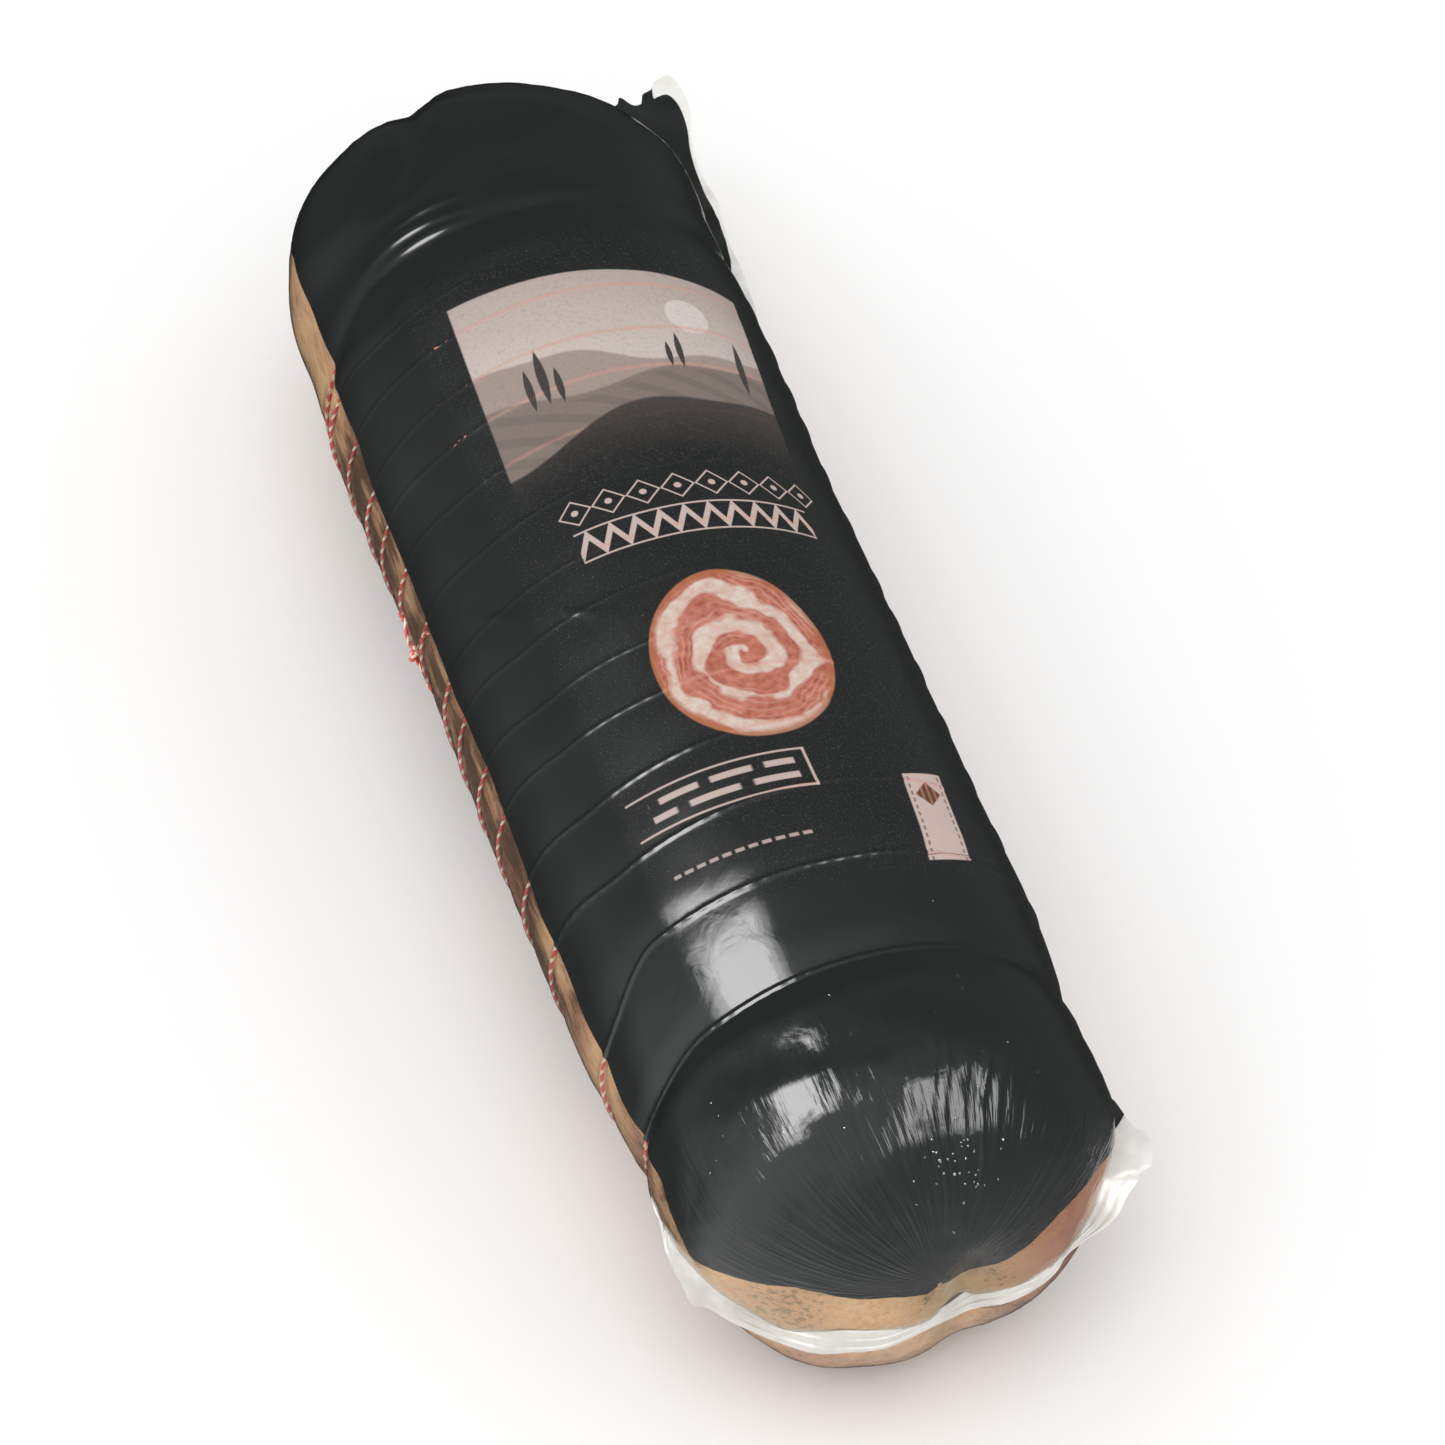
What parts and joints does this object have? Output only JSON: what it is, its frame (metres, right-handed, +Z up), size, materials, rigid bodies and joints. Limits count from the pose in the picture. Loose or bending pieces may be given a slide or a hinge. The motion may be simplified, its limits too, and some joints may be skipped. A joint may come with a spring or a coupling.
{
  "type": "vacuum-packed rolled pancetta",
  "caption": "Whole rolled pancetta tied with twine in a sealed shrink bag: a long round roll with ridges over the string, lobed ends and thin sealed fins at both ends.",
  "frame": {"origin": "middle of the bag's outline, on the surface that it lies on", "axes": "+Y along the roll towards the end that the print's top points to, +Z up, +X to the print's right"},
  "size_m": [0.1336, 0.4278, 0.1063],
  "materials": {
    "printed_film": "black printed shrink film, glossy, with pale pinkish print",
    "clear_film": "clear shrink film, drawn tight over the meat",
    "sealed_film": "milky heat-sealed film, pleated and crinkled",
    "meat": "smoked rind and fat, mottled tan, pink and dark brown, moist",
    "twine": "twisted butcher's twine, red and white strands"
  },
  "bodies": {
    "root": {"vacuum_bag": "printed_film"}
  },
  "joints": []
}
